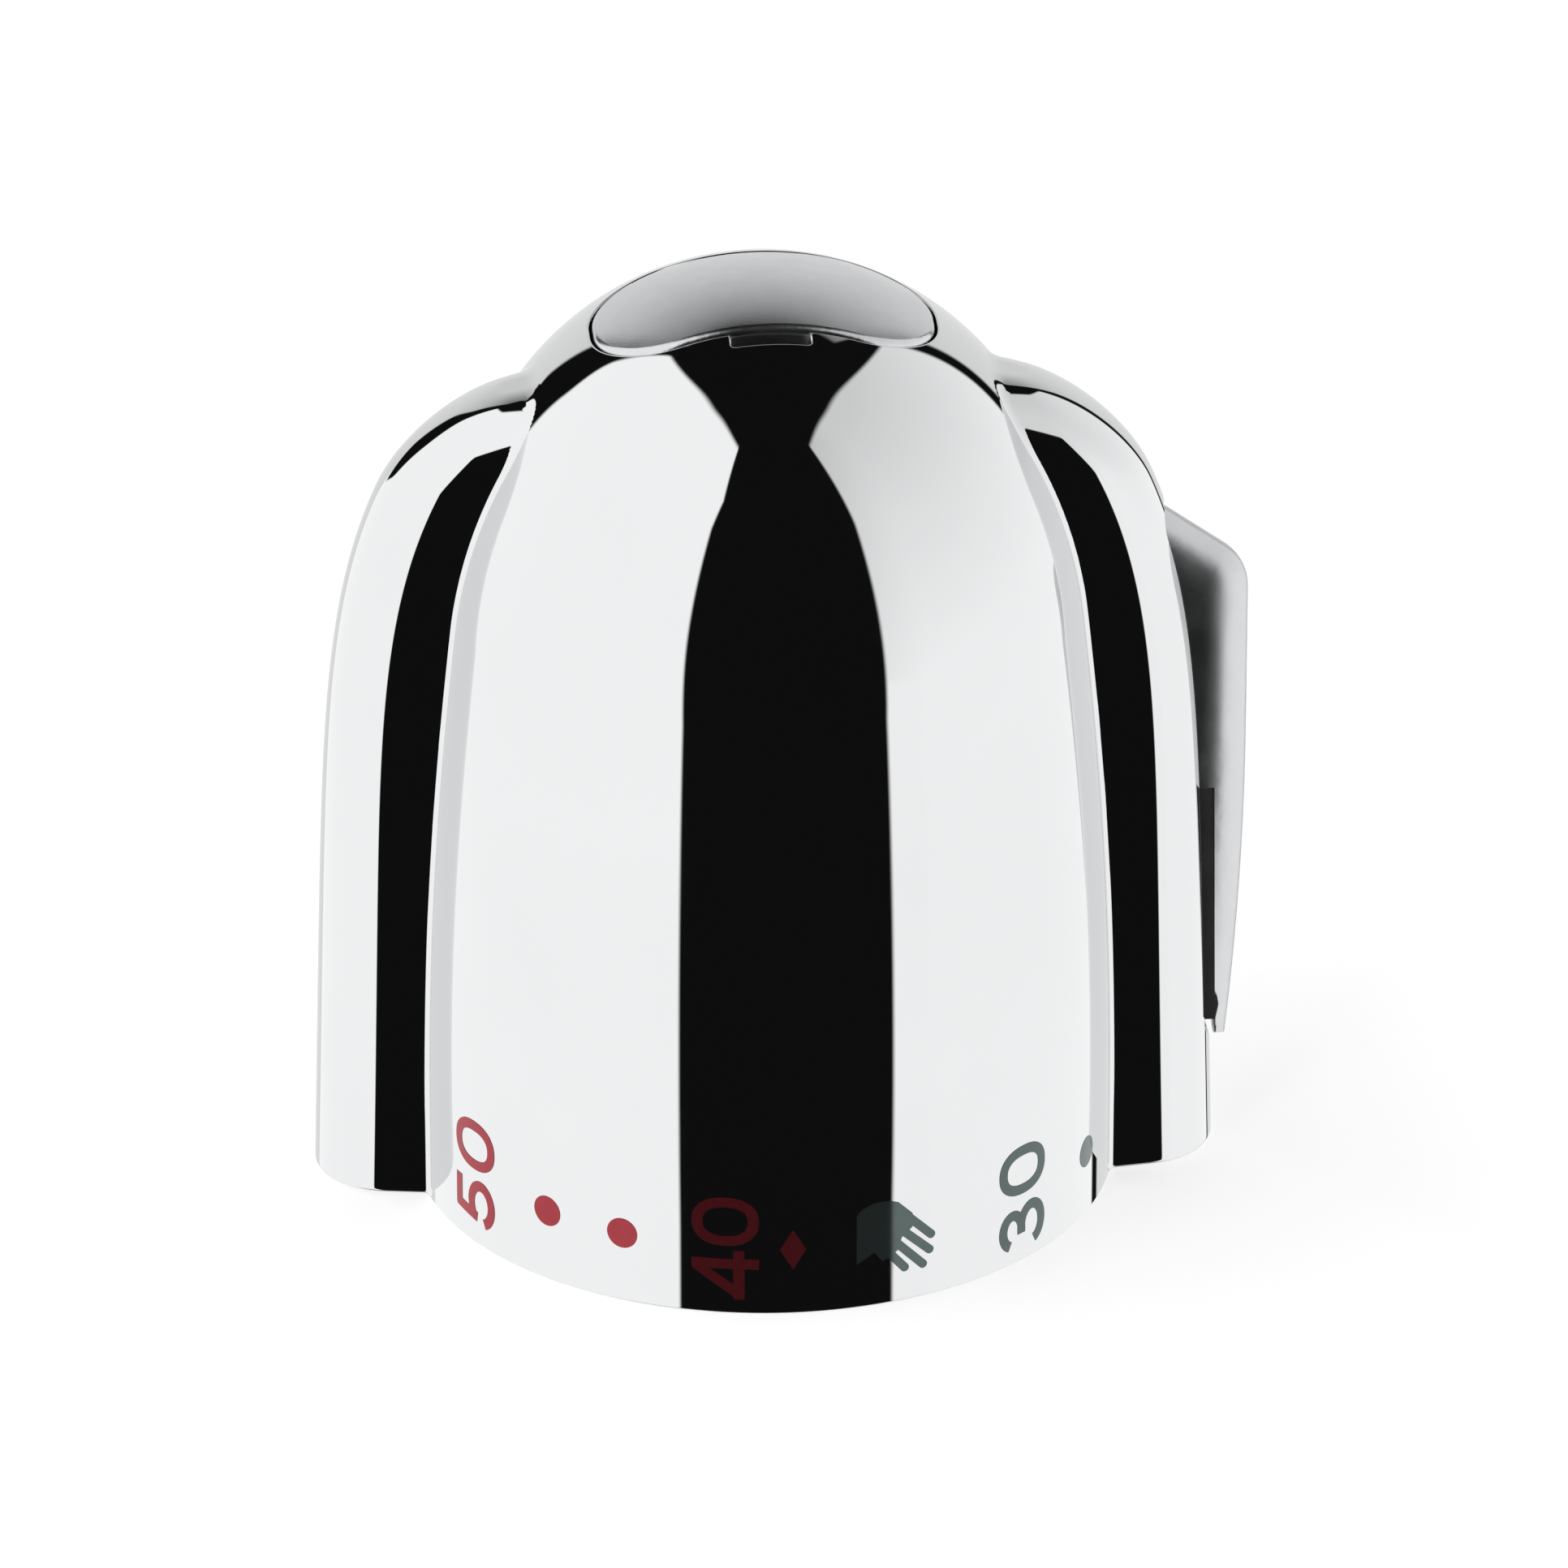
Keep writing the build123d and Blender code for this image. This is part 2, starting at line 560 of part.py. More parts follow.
def make_pawl_rivet():
    """Rivet that joins the pawl to the slider."""
    shank = rod(RIVET_RADIUS, (PAWL_X[0], SLIDER_X[0] + RIVET_DEPTH), RIVET_HEIGHT)
    head_radius, head_height = RIVET_HEAD
    return shank + rod(head_radius, (PAWL_X[0] - head_height, PAWL_X[0]), RIVET_HEIGHT)


def make_guide_pin(height):
    """Steel pin pressed into the cover, grooved at its inner end for a clip."""
    groove = rod(PIN_RADIUS, PIN_CLIP_X, height) - rod(PIN_GROOVE_RADIUS, PIN_CLIP_X, height)
    return rod(PIN_RADIUS, PIN_X, height) - groove


def make_pin_clip(height):
    """Open clip in a pin's groove: it stops the button's outward travel."""
    ring = rod(PIN_CLIP_RADIUS, PIN_CLIP_X, height) - rod(PIN_GROOVE_RADIUS, PIN_CLIP_X, height)
    half = PIN_CLIP_OPENING / 2
    return ring - block(PIN_CLIP_X, (-half, half), (height - PIN_CLIP_RADIUS, height))


def make_button_spring(height):
    """Compression spring round a guide pin, between the guide block and the cover."""
    inset = SPRING_WIRE + SPRING_END_GAP
    length = BUTTON_SKIRT_X - GUIDE_X[1] - 2 * inset
    path = Helix(length / SPRING_TURNS, length, SPRING_RADIUS)
    start = Plane(origin=path @ 0, z_dir=path % 0)
    coil = sweep(start * Circle(SPRING_WIRE), path=path)
    return Pos(GUIDE_X[1] + inset, 0, height) * Rot(0, 90, 0) * coil


# ---- write every piece --------------------------------------------------------------------------
def make_parts():
    """All pieces by node name."""
    parts = {
        "shell": make_shell(),
        "inner_frame": make_inner_frame(),
        "top_cap": make_cap(),
        "spline_hub": make_hub(),
        "hub_clip": make_hub_clip(),
        "retaining_screw": make_retaining_screw(),
        "screw_washer": make_screw_washer(),
        "captive_ring": make_captive_ring(),
        "glide_ring": make_glide_ring(),
        "carrier": make_carrier(),
        "carrier_screws": make_carrier_screws(),
        "button_cover": make_button_cover(),
        "button_core": make_button_core(),
        "button_slider": make_button_slider(),
        "stop_pawl": make_stop_pawl(),
        "pawl_rivet": make_pawl_rivet(),
    }
    for name, height in PIN_HEIGHTS.items():
        parts["guide_pin_" + name] = make_guide_pin(height)
        parts["pin_clip_" + name] = make_pin_clip(height)
        parts["button_spring_" + name] = make_button_spring(height)
    return parts


os.makedirs("parts", exist_ok=True)
for node, piece in make_parts().items():
    export_step(piece, f"parts/{node}.step")
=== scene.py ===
import json
import math

import bmesh
import bpy
import numpy as np
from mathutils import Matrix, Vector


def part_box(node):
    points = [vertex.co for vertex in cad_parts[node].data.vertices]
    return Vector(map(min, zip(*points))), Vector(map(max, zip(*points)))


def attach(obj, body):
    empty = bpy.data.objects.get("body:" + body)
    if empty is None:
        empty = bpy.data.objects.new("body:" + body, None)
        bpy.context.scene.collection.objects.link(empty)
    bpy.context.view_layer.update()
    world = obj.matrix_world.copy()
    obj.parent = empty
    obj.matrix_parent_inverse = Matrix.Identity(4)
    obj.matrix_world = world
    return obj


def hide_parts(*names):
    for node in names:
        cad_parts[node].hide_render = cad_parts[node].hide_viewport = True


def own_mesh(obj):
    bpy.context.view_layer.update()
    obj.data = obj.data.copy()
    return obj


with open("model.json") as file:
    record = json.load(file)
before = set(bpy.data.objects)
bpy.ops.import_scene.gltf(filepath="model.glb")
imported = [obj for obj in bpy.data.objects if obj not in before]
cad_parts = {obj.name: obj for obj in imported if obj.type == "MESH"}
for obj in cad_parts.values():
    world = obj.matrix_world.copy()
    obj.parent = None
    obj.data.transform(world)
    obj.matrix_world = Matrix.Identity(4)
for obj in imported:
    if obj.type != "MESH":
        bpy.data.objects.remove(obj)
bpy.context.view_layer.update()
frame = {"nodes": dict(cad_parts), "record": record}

# Looks of a thermostatic mixer handle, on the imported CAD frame. Lengths in the shape code are in
# millimetres and are turned into metres when a mesh is made.

MM = 0.001
# The camera and the studio are turned about Z by this many degrees, and the print is placed from there.
TURN = 4.4

# ---- shape of the plated shell --------------------------------------------------------------------
# The print lies this far above the shell, whose rim is smaller by as much, and each piece of a mark lies
# a step above the one before it.
PRINT_LIFT = 0.012
PRINT_STEP = 0.0015

# Dome: radius of its rim, its height and that of its cylinder; radii of the flank, shoulder and top arcs.
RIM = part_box("shell")[1].y / MM - PRINT_LIFT
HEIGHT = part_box("top_cap")[1].z / MM
CYLINDER = 6.0
FLANK = 280.0
SHOULDER = 30.0
TOP = 18.27

# Wings: reach of the tip at the rim and its lean; depth, height and power of its inward bend; radius of
# the rounded end, what it loses and by what height; taper of the sides and level of the bottom; centre
# and radius of the arch over the top, and the rounding of its edge; where the wings start in the dome.
WING_TIP = 27.68
WING_LEAN = 0.0259
WING_BEND = (4.28, 48.3, 6.28)
WING_NOSE = (4.8, 0.6, 50.0)
WING_TAPER = math.radians(8.0)
WING_BOTTOM = 0.25
WING_ARCH = (6.05, 14.66, 38.83)
WING_ROUND = 3.4
WING_INNER = 8.0
# Roundings of the wings' lower edge and of the crease between wings and dome.
BOTTOM_ROUND = 0.3
CREASE = 0.3

# Openings: half length, half width and corner radius of the cap's recess; half width and reach of its
# notch, its corner radius and how it runs into the recess; half width, bottom and top of the button's
# slot; roundings of the openings' edges and of the rim.
RECESS = (10.45, 5.65, 5.15)
NOTCH = (2.375, 6.65)
NOTCH_CORNER = 0.25
NOTCH_BLEND = 0.2
SLOT = (1.95, 6.93, 43.57)
EDGE_ROUND = 0.2
RIM_ROUND = 0.12

# Height where the level rays that find the outside end, and the fan of rays over the top begins.
AXIS_TOP = 38.0


def smooth_max(a, b, radius):
    """Larger of two distances, with the edge between them rounded."""
    outside = np.hypot(np.maximum(a + radius, 0), np.maximum(b + radius, 0))
    return np.minimum(np.maximum(a, b), -radius) + outside


def smooth_min(a, b, radius):
    """Smaller of two distances, with the corner between them filled."""
    inside = np.hypot(np.minimum(a - radius, 0), np.minimum(b - radius, 0))
    return np.maximum(np.minimum(a, b), radius) - inside


def dome_distance(x, y, z):
    """Signed distance to the dome: a cylinder, a long arc, a shoulder and a spherical top."""
    flank = np.array([RIM - FLANK, CYLINDER])
    top = np.array([0.0, HEIGHT - TOP])
    span = math.dist(flank, top)
    reach = FLANK - SHOULDER
    drop = SHOULDER - TOP
    corner = math.acos((reach ** 2 + span ** 2 - drop ** 2) / (2 * reach * span))
    turn = math.atan2(*(top - flank)[::-1]) - corner
    shoulder = flank + reach * np.array([math.cos(turn), math.sin(turn)])
    second = math.atan2(*(top - shoulder)[::-1])
    r = np.hypot(x, y)

    def arc(centre, radius):
        return np.hypot(r - centre[0], z - centre[1]) - radius

    on_flank = np.arctan2(z - flank[1], r - flank[0]) < turn
    on_shoulder = np.arctan2(z - shoulder[1], r - shoulder[0]) < second
    upper = np.where(on_shoulder, arc(shoulder, SHOULDER), arc(top, TOP))
    return np.where(z < CYLINDER, r - RIM, np.where(on_flank, arc(flank, FLANK), upper))


def wing_distance(x, y, z):
    """Signed distance to the two wings."""
    u = np.abs(x)
    v = np.abs(y)
    height = np.maximum(z, 0)
    bend, bend_height, power = WING_BEND
    tip = WING_TIP - WING_LEAN * height - bend * (height / bend_height) ** power
    nose = WING_NOSE[0] - WING_NOSE[1] * (height / WING_NOSE[2]) ** 2
    du = u - (tip - nose)
    ahead = du * math.cos(WING_TAPER) - v * math.sin(WING_TAPER) > 0
    flank = v * math.cos(WING_TAPER) + du * math.sin(WING_TAPER) - nose
    side = np.where(ahead, np.hypot(du, v) - nose, flank)
    arch = np.hypot(u - WING_ARCH[0], z - WING_ARCH[1]) - WING_ARCH[2]
    body = smooth_max(side, arch, WING_ROUND)
    body = smooth_max(body, WING_BOTTOM - z, BOTTOM_ROUND)
    return np.maximum(body, WING_INNER - u)


def shell_distance(p):
    """Signed distance to the closed outside of the shell, for an array of points."""
    x, y, z = p[..., 0], p[..., 1], p[..., 2]
    return smooth_min(dome_distance(x, y, z), wing_distance(x, y, z), CREASE)


def shell_normals(p, step=0.002):
    """Outward unit normals of the distance field."""
    gradient = np.empty_like(p)
    for axis in range(3):
        shift = np.zeros(3)
        shift[axis] = step
        gradient[..., axis] = shell_distance(p + shift) - shell_distance(p - shift)
    return gradient / np.maximum(np.linalg.norm(gradient, axis=-1, keepdims=True), 1e-12)


def cast(origins, directions, near=2.0, far=34.0):
    """Where rays that start inside the closed outside leave it."""
    low = np.full(origins.shape[:-1], near)
    high = np.full(origins.shape[:-1], far)
    for _ in range(36):
        middle = (low + high) / 2
        inside = shell_distance(origins + middle[..., None] * directions) < 0
        low = np.where(inside, middle, low)
        high = np.where(inside, high, middle)
    return origins + low[..., None] * directions


# ---- mesh helpers ---------------------------------------------------------------------------------
# Welding distances in metres: for equal points, and for steps between the CAD's faces.
POINT_WELD = 1e-7
STEP_WELD = 2e-6
# A face counts as part of a known surface if its corners are this near to it in millimetres, and if its
# normal agrees with the surface's by this cosine.
NEAR_SURFACE = 0.006
SAME_WAY = 0.75


def make_object(name, points, faces):
    """Mesh object from points in millimetres."""
    mesh = bpy.data.meshes.new(name)
    mesh.from_pydata((np.asarray(points) * MM).tolist(), [], faces)
    obj = bpy.data.objects.new(name, mesh)
    bpy.context.scene.collection.objects.link(obj)
    return obj


def mesh_points(mesh):
    """Vertex positions in millimetres."""
    flat = np.empty(len(mesh.vertices) * 3)
    mesh.vertices.foreach_get("co", flat)
    return flat.reshape(-1, 3) / MM


def grid_faces(rows, columns, closed=True):
    """Quads of a grid of rows by columns, with the columns joined round."""
    wrap = columns if closed else columns - 1
    faces = []
    for i in range(rows - 1):
        for j in range(wrap):
            k = (j + 1) % columns
            faces.append((i * columns + j, i * columns + k, (i + 1) * columns + k, (i + 1) * columns + j))
    return faces


def copy_node(node, name, weld=POINT_WELD):
    """Welded copy of a CAD node's mesh in a new object."""
    obj = bpy.data.objects.new(name, frame["nodes"][node].data.copy())
    bpy.context.scene.collection.objects.link(obj)
    work = bmesh.new()
    work.from_mesh(obj.data)
    bmesh.ops.remove_doubles(work, verts=work.verts, dist=weld)
    work.to_mesh(obj.data)
    work.free()
    return obj


def apply_modifiers(obj):
    """Bakes an object's modifiers into its mesh."""
    depsgraph = bpy.context.evaluated_depsgraph_get()
    result = bpy.data.meshes.new_from_object(obj.evaluated_get(depsgraph))
    obj.modifiers.clear()
    obj.data = result


def boolean(target, tool, operation):
    """Replaces target's mesh by the result and removes the tool."""
    modifier = target.modifiers.new("cut", "BOOLEAN")
    modifier.operation = operation
    modifier.solver = "MANIFOLD"
    modifier.object = tool
    apply_modifiers(target)
    bpy.data.objects.remove(tool)


def shade(obj, angle=35.0, surface=None):
    """Smooth weighted normals, sharp above an angle, and exact ones on faces of a known surface."""
    mesh = obj.data
    mesh.polygons.foreach_set("use_smooth", [True] * len(mesh.polygons))
    if mesh.has_custom_normals:
        mesh.normals_split_custom_set([(0, 0, 0)] * len(mesh.loops))
    mesh.set_sharp_from_angle(angle=math.radians(angle))
    weigh = obj.modifiers.new("weigh", "WEIGHTED_NORMAL")
    weigh.keep_sharp = True
    apply_modifiers(obj)
    mesh = obj.data
    if surface is None:
        return
    distances, normals = surface(mesh_points(mesh))
    corners = np.array([c.vector for c in mesh.corner_normals])
    loops = np.empty(len(mesh.loops), int)
    mesh.loops.foreach_get("vertex_index", loops)
    on_surface = np.abs(distances) < NEAR_SURFACE
    for polygon in mesh.polygons:
        span = slice(polygon.loop_start, polygon.loop_start + polygon.loop_total)
        indices = loops[span]
        if not on_surface[indices].all():
            continue
        wanted = normals[indices]
        if np.dot(wanted.mean(0), np.array(polygon.normal)) > SAME_WAY:
            corners[span] = wanted
    mesh.normals_split_custom_set(corners.tolist())


# ---- shell ----------------------------------------------------------------------------------------
def theta_list():
    """Ray azimuths: fine over the creases and the wings, coarser over the dome."""
    quarter = np.concatenate([
        np.arange(0, 9.6, 0.6),
        np.arange(9.6, 20.1, 0.15),
        np.arange(20.1, 90, 1.4),
    ])
    half = np.concatenate([quarter, [90.0], 180 - quarter[::-1]])[:-1]
    return np.radians(np.concatenate([half, half + 180]))


def closed_outside():
    """Closed mesh of the shell's outside: level rays up to a height, then rays from one point."""
    theta = theta_list()
    # The levels are close together where the rim and the wings' lower edge are rounded.
    low = [0.0, 0.02, 0.05, 0.085, RIM_ROUND, 0.249, 0.2501, 0.262, 0.29, 0.34, 0.42, 0.54, 0.75]
    levels = np.concatenate([low, np.arange(1.2, AXIS_TOP - 0.2, 0.9)])
    tilts = np.radians(np.arange(0, 90, 0.8))
    heights = np.concatenate([levels, np.full(len(tilts), AXIS_TOP)])
    tilt = np.concatenate([np.zeros(len(levels)), tilts])
    tilt, azimuth = np.meshgrid(tilt, theta, indexing="ij")
    height, _ = np.meshgrid(heights, theta, indexing="ij")
    directions = np.stack([
        np.cos(azimuth) * np.cos(tilt), np.sin(azimuth) * np.cos(tilt), np.sin(tilt)
    ], axis=-1)
    origins = np.stack([np.zeros_like(height), np.zeros_like(height), height], axis=-1)
    points = cast(origins, directions)
    below = np.maximum(RIM_ROUND - points[..., 2], 0)
    inset = RIM_ROUND - np.sqrt(RIM_ROUND ** 2 - below ** 2)
    points -= shell_normals(points) * [1, 1, 0] * inset[..., None]
    rows, columns = azimuth.shape
    flat = points.reshape(-1, 3)
    faces = grid_faces(rows, columns)
    top = len(flat)
    last = (rows - 1) * columns
    for j in range(columns):
        k = (j + 1) % columns
        faces.append((last + j, last + k, top))
        faces.append((k, j, top + 1))
    flat = np.vstack([flat, [[0, 0, HEIGHT], [0, 0, 0]]])
    return make_object("shell_outside", flat, faces)


# How the CAD shell's outer skin is moved out of the way. The skin is every point less than SKIN below
# the outside, and it goes to PUSH outside it. In the zones of the recess and the slot it goes up or out
# by OPENING_PUSH instead. Points below RIM_ZONE go down by RIM_DROP, and those of the skin out by PUSH.
SKIN = 1.3
PUSH = 0.4
OPENING_PUSH = 0.8
RIM_ZONE = 0.5
RIM_DROP = 0.5
# Half length, half width and bottom of the recess's zone; start, half width, bottom and top of the slot's.
RECESS_ZONE = (10.9, 6.9, 50.0)
SLOT_ZONE = (22.0, 2.0, 6.8, 43.7)


def pushed_cad_shell():
    """Copy of the CAD shell whose outer skin is pushed out, so that it only carries the inside."""
    obj = copy_node("shell", "cad_shell")
    points = mesh_points(obj.data)
    distance = shell_distance(points)
    normals = shell_normals(points)
    x, y, z = points.T
    low = z < RIM_ZONE
    outer = (distance > -SKIN) & ~low
    half_length, half_width, recess_bottom = RECESS_ZONE
    in_recess = (np.abs(x) < half_length) & (np.abs(y) < half_width) & (z > recess_bottom)
    slot_start, slot_half, slot_bottom, slot_top = SLOT_ZONE
    in_slot = (x > slot_start) & (np.abs(y) < slot_half) & (z > slot_bottom) & (z < slot_top)
    moved = points.copy()
    plain = outer & ~in_recess & ~in_slot
    reach = (PUSH - distance)[:, None]
    moved[plain] += (normals * reach)[plain]
    moved[outer & in_recess, 2] += OPENING_PUSH
    moved[outer & in_slot, 0] += OPENING_PUSH
    rim = low & (distance > -SKIN)
    flat_normals = normals * [1, 1, 0]
    flat_normals /= np.maximum(np.linalg.norm(flat_normals, axis=1, keepdims=True), 1e-9)
    moved[rim] += (flat_normals * PUSH)[rim]
    moved[low, 2] -= RIM_DROP
    obj.data.vertices.foreach_set("co", (moved * MM).ravel())
    obj.data.update()
    return obj


def rounded_box(x, y, half_x, half_y, radius):
    """Signed distance to a rounded rectangle."""
    dx = np.abs(x) - half_x + radius
    dy = np.abs(y) - half_y + radius
    return np.hypot(np.maximum(dx, 0), np.maximum(dy, 0)) + np.minimum(np.maximum(dx, dy), 0) - radius


def recess_outline():
    """Points and outward normals of the cap recess with its pry notch."""
    def distance(p):
        bar = rounded_box(p[:, 0], p[:, 1], *RECESS)
        notch = rounded_box(p[:, 0], p[:, 1] + NOTCH[1] / 2, NOTCH[0], NOTCH[1] / 2, NOTCH_CORNER)
        return smooth_min(bar, notch, NOTCH_BLEND)

    steps = np.concatenate([np.arange(0, 240, 1.5), np.arange(240, 300, 0.5), np.arange(300, 360, 1.5)])
    angles = np.radians(steps)
    rays = np.stack([np.cos(angles), np.sin(angles)], axis=1)
    low = np.full(len(rays), 2.0)
    high = np.full(len(rays), 14.0)
    for _ in range(36):
        middle = (low + high) / 2
        inside = distance(middle[:, None] * rays) < 0
        low = np.where(inside, middle, low)
        high = np.where(inside, high, middle)
    points = low[:, None] * rays
    step = 0.01
    normals = np.stack([
        distance(points + [step, 0]) - distance(points - [step, 0]),
        distance(points + [0, step]) - distance(points - [0, step]),
    ], axis=1)
    return points, normals / np.linalg.norm(normals, axis=1, keepdims=True)


def slot_outline():
    """Points and outward normals of the button slot, in Y and Z."""
    half, low, high = SLOT
    points = []
    normals = []
    for centre, start in ((high - half, 0), (low + half, 180)):
        for angle in np.radians(np.arange(start, start + 181, 9)):
            normals.append((math.cos(angle), math.sin(angle)))
            points.append((half * math.cos(angle), centre + half * math.sin(angle)))
        along = np.arange(1, 40) / 40 * (high - low - 2 * half)
        for travel in along:
            side = -1 if start == 0 else 1
            normals.append((side, 0))
            points.append((side * half, centre + side * travel))
    return np.array(points), np.array(normals)


def edge_cutter(name, outline, radius, place):
    """Ring that rounds the edge of an opening. place turns outline points and depths into space."""
    points, normals = outline
    arc = np.radians(np.linspace(0, 90, 7))
    reach = 1.03 * radius
    above = 1.0
    inwards = 0.5
    profile = [(radius - reach * math.cos(t), radius - reach * math.sin(t)) for t in arc]
    profile += [(radius, -above), (-inwards, -above), (-inwards, radius)]
    rows = [place(points + normals * across, depth) for across, depth in profile]
    columns = len(points)
    count = len(profile)
    flat = np.vstack(rows)
    faces = grid_faces(count, columns)
    last = (count - 1) * columns
    for j in range(columns):
        k = (j + 1) % columns
        faces.append((last + j, last + k, k, j))
    obj = make_object(name, flat, faces)
    work = bmesh.new()
    work.from_mesh(obj.data)
    bmesh.ops.recalc_face_normals(work, faces=work.faces)
    work.to_mesh(obj.data)
    work.free()
    return obj


def on_top(p, depth):
    """Points above XY positions, a depth below the dome."""
    start = np.column_stack([p, np.full(len(p), AXIS_TOP)])
    found = cast(start, np.tile([0.0, 0.0, 1.0], (len(p), 1)), 2.0, 30.0)
    found[:, 2] -= depth
    return found


def on_wing(p, depth):
    """Points beside YZ positions, a depth below the end of the right wing."""
    start = np.column_stack([np.full(len(p), WING_INNER + 2), p])
    found = cast(start, np.tile([1.0, 0.0, 0.0], (len(p), 1)), 2.0, 24.0)
    found[:, 0] -= depth
    return found


def build_shell():
    """Plated shell: exact outside, CAD inside, rounded edges at the openings."""
    obj = closed_outside()
    boolean(obj, pushed_cad_shell(), "INTERSECT")
    boolean(obj, edge_cutter("recess_edge", recess_outline(), EDGE_ROUND, on_top), "DIFFERENCE")
    boolean(obj, edge_cutter("slot_edge", slot_outline(), EDGE_ROUND, on_wing), "DIFFERENCE")
    shade(obj, surface=lambda p: (shell_distance(p), shell_normals(p)))
    obj.name = "shell_plated"
    return obj


# ---- printed scale --------------------------------------------------------------------------------
DIGIT_HEIGHT = 4.1
DIGIT_WIDTH = 3.45
DIGIT_ADVANCE = 3.85
STROKE = 0.68
DOT_RADIUS = 1.0
# Marks by azimuth in degrees, height in millimetres and material slot.
NUMBERS = {
    "50": (-54.9, 4.85, "print_red"),
    "40": (-6.15, 4.42, "print_red"),
    "30": (47.2, 4.39, "print_grey"),
}
DOTS = {
    "left": (-37.55, 4.68, "print_red"),
    "middle": (-23.4, 4.61, "print_red"),
    "grey": (66.6, 4.22, "print_grey"),
}
DIAMOND_AT = (4.8, 4.38)
DIAMOND = (0.8, 1.35)
HAND_AT = (22.1, 4.47)
# Outline of the palm, and the root and tip of each finger.
PALM = [
    (-2.59, -1.50), (-2.59, 1.78), (-2.42, 2.06), (-2.13, 2.28), (-1.39, 2.56), (-0.56, 2.56),
    (0.09, 2.34), (1.02, 1.40), (1.02, 0.47), (0.31, -0.12), (0.02, -0.97), (-0.93, -1.53),
    (-1.48, -0.84),
]
FINGERS = [
    ((0.70, 1.24), (2.28, -0.35)), ((0.30, 0.40), (2.17, -1.37)),
    ((0.00, -0.46), (1.72, -2.26)), ((-0.70, -0.80), (0.50, -2.22)),
]
FINGER_RADIUS = 0.28


def ellipse(centre, radii, start, end, power=2.0, count=40):
    """Points along a rounded or squarish ellipse between two angles."""
    points = []
    for angle in np.radians(np.linspace(start, end, count)):
        across, along = math.cos(angle), math.sin(angle)
        share = (abs(across) ** power + abs(along) ** power) ** (-1 / power)
        points.append((centre[0] + radii[0] * across * share, centre[1] + radii[1] * along * share))
    return points


def digit_strokes(digit):
    """Centre lines of a digit, with its width along the first axis and its height along the second."""
    if digit == "0":
        return [ellipse((1.65, 2.05), (1.31, 1.71), 0, 360, 2.35, 73)]
    if digit == "3":
        upper = ellipse((1.55, 2.97), (1.04, 0.79), 165, -90)
        lower = ellipse((1.60, 1.27), (1.24, 0.93), 90, -165)
        return [upper + [(1.15, 2.18)], [(1.15, 2.20)] + lower]
    if digit == "4":
        return [[(2.62, 0.0), (2.62, 4.1)], [(3.55, 1.22), (0.2, 1.22)], [(0.42, 1.0), (2.50, 3.86)]]
    bowl = ellipse((1.62, 1.36), (1.26, 1.02), 142, -162)
    return [[(2.9, 3.76), (0.75, 3.76)], [(0.98, 4.0), (0.66, 1.75)], bowl]


def ribbon(path, width=STROKE, spacing=0.14):
    """Flat strip along a path, as points and faces."""
    path = np.array(path, float)
    lengths = np.concatenate([[0], np.cumsum(np.linalg.norm(np.diff(path, axis=0), axis=1))])
    along = np.linspace(0, lengths[-1], max(int(lengths[-1] / spacing), 2))
    line = np.column_stack([np.interp(along, lengths, path[:, k]) for k in (0, 1)])
    closed = np.allclose(path[0], path[-1])
    ahead = np.gradient(line, axis=0)
    if closed:
        ahead[0] = ahead[-1] = line[1] - line[-2]
    ahead /= np.linalg.norm(ahead, axis=1, keepdims=True)
    side = np.column_stack([-ahead[:, 1], ahead[:, 0]])
    shares = np.linspace(-0.5, 0.5, 4)
    points = np.concatenate([line + side * share * width for share in shares])
    return points, grid_faces(len(shares), len(line), closed=False)


def patch(outline, cell=0.3):
    """Flat filled outline cut into small cells, so that it can be bent round the dome."""
    turns = sum(a[0] * b[1] - b[0] * a[1] for a, b in zip(outline, [*outline[1:], outline[0]]))
    outline = outline if turns > 0 else outline[::-1]
    work = bmesh.new()
    work.faces.new([work.verts.new((x, y, 0)) for x, y in outline])
    for axis in range(2):
        low = min(p[axis] for p in outline)
        high = max(p[axis] for p in outline)
        normal = (1 - axis, axis, 0)
        for at in np.arange(low + cell, high, cell):
            place = (at, 0, 0) if axis == 0 else (0, at, 0)
            everything = [*work.verts, *work.edges, *work.faces]
            bmesh.ops.bisect_plane(work, geom=everything, plane_co=place, plane_no=normal)
    work.verts.index_update()
    points = np.array([vertex.co[:2] for vertex in work.verts])
    faces = [tuple(vertex.index for vertex in face.verts) for face in work.faces]
    work.free()
    return points, faces


def print_mark(name, pieces, azimuth, height, slot):
    """Printed mark on the dome: flat pieces, right and up in millimetres, bent round the shell."""
    points, faces, lifts = [], [], []
    for order, (flat, quads) in enumerate(pieces):
        offset = sum(len(part) for part in points)
        faces += [tuple(index + offset for index in quad) for quad in quads]
        points.append(flat)
        lifts += [PRINT_LIFT + order * PRINT_STEP] * len(flat)
    flat = np.vstack(points)
    angle = math.radians(azimuth - TURN) + flat[:, 0] / RIM
    rays = np.column_stack([np.sin(angle), -np.cos(angle), np.zeros(len(flat))])
    starts = np.column_stack([np.zeros((len(flat), 2)), height + flat[:, 1]])
    surface = cast(starts, rays)
    normals = shell_normals(surface)
    obj = make_object(name, surface + normals * np.array(lifts)[:, None], faces)
    mesh = obj.data
    mesh.polygons.foreach_set("use_smooth", [True] * len(mesh.polygons))
    mesh.normals_split_custom_set_from_vertices(normals.tolist())
    dress(obj, slot)
    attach(obj, "handle")


def upright(strokes, text_length, start):
    """Digit strokes turned a quarter, so that the text reads upwards."""
    pieces = []
    for path in strokes:
        points, faces = ribbon(path)
        right = DIGIT_HEIGHT / 2 - points[:, 1]
        up = points[:, 0] + start - text_length / 2
        pieces.append((np.column_stack([right, up]), faces))
    return pieces


